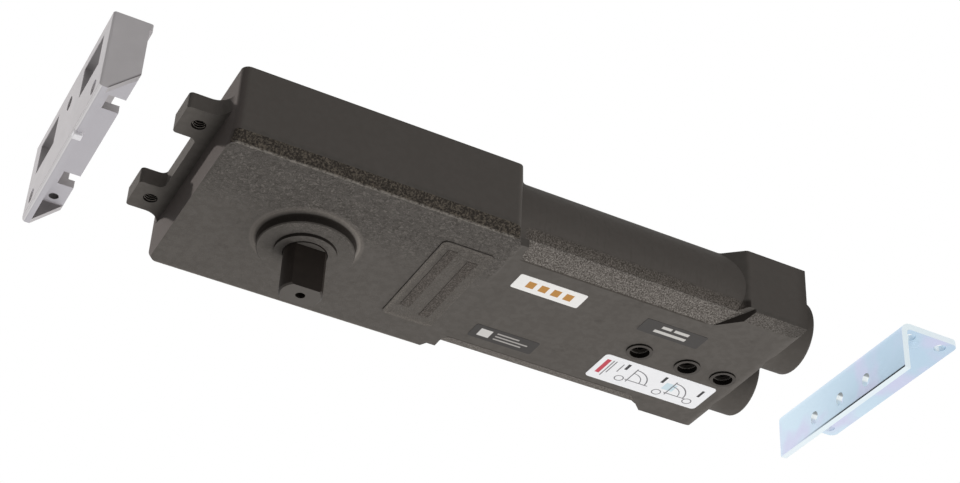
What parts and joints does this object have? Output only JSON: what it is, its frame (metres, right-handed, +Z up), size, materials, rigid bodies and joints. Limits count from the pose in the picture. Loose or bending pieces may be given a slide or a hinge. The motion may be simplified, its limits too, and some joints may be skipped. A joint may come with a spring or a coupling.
{
  "type": "concealed overhead door closer",
  "caption": "Concealed overhead door closer: dark iron casting with a flatted down-pointing spindle, rack pistons inside, lugs, regulating valves and loose mounting brackets.",
  "frame": {"origin": "on the spindle axis, in the plane of the body's underside", "axes": "+X from the lugs to the cylinder ends, -Y to the near side of the picture, +Z up into the header; the spindle points along -Z"},
  "size_m": [0.3582, 0.0888, 0.058],
  "materials": {
    "body_iron": "dark baked coating over rough casting",
    "dark_steel": "black oxide",
    "plain_steel": "ground",
    "spring_steel": "oil tempered",
    "bush_bronze": "sintered",
    "seal_rubber": "matte",
    "die_cast": "as cast, satin",
    "zinc_plate": "bright zinc plate"
  },
  "bodies": {
    "closer": {"closer_body": "body_iron", "gland_ring": "body_iron", "spindle_seal": "seal_rubber", "lower_bush": "bush_bronze", "thrust_washer": "plain_steel", "upper_bush": "bush_bronze", "spring_near": "spring_steel", "spring_far": "spring_steel", "spring_seat_near": "plain_steel", "spring_seat_far": "plain_steel", "end_plug_near": "dark_steel", "end_plug_far": "dark_steel", "plug_ring_near": "seal_rubber", "plug_ring_far": "seal_rubber", "valve_collars": "body_iron"},
    "spindle": {"pinion_spindle": "dark_steel"},
    "near_piston": {"rack_piston_near": "plain_steel", "piston_seal_near": "seal_rubber", "check_ball_near": "plain_steel", "ball_retainer_near": "plain_steel"},
    "far_piston": {"rack_piston_far": "plain_steel", "piston_seal_far": "seal_rubber", "check_ball_far": "plain_steel", "ball_retainer_far": "plain_steel"},
    "closing_screw": {"closing_valve": "dark_steel", "closing_valve_ring": "seal_rubber"},
    "latching_screw": {"latching_valve": "dark_steel", "latching_valve_ring": "seal_rubber"},
    "backcheck_screw": {"backcheck_valve": "dark_steel", "backcheck_valve_ring": "seal_rubber"},
    "jamb_bracket": {"front_bracket": "die_cast"},
    "header_bracket": {"rear_bracket": "zinc_plate"}
  },
  "joints": [
    {"name": "spindle_turn", "type": "hinge", "parent": "closer", "child": "spindle", "pos_m": [0, 0, 0], "axis": [0, 0, 1], "range_deg": [-105, 105], "stiffness_Nm_per_rad": 8},
    {"name": "near_piston_slide", "type": "slide", "parent": "closer", "child": "near_piston", "axis": [1, 0, 0], "range_m": [-0.0165, 0.0165], "deforming": ["spring_near"]},
    {"name": "far_piston_slide", "type": "slide", "parent": "closer", "child": "far_piston", "axis": [1, 0, 0], "range_m": [-0.0165, 0.0165], "deforming": ["spring_far"]},
    {"name": "closing_valve_turn", "type": "hinge", "parent": "closer", "child": "closing_screw", "pos_m": [0.1408, 0, 0.005], "axis": [0, 0, 1], "range_deg": [-360, 360]},
    {"name": "latching_valve_turn", "type": "hinge", "parent": "closer", "child": "latching_screw", "pos_m": [0.1625, 0, 0.005], "axis": [0, 0, 1], "range_deg": [-360, 360]},
    {"name": "backcheck_valve_turn", "type": "hinge", "parent": "closer", "child": "backcheck_screw", "pos_m": [0.179, 0, 0.005], "axis": [0, 0, 1], "range_deg": [-360, 360]},
    {"name": "front_bracket_fit", "type": "slide", "parent": "closer", "child": "jamb_bracket", "axis": [1, 0, 0], "range_m": [0, 0.0298]},
    {"name": "rear_bracket_fit", "type": "slide", "parent": "closer", "child": "header_bracket", "axis": [-0.9534, 0, 0.3016], "range_m": [0, 0.03713]}
  ],
  "couplings": [
    {"joint": "near_piston_slide", "follows": "spindle_turn", "m_per_rad": 0.009},
    {"joint": "far_piston_slide", "follows": "spindle_turn", "m_per_rad": -0.009}
  ]
}
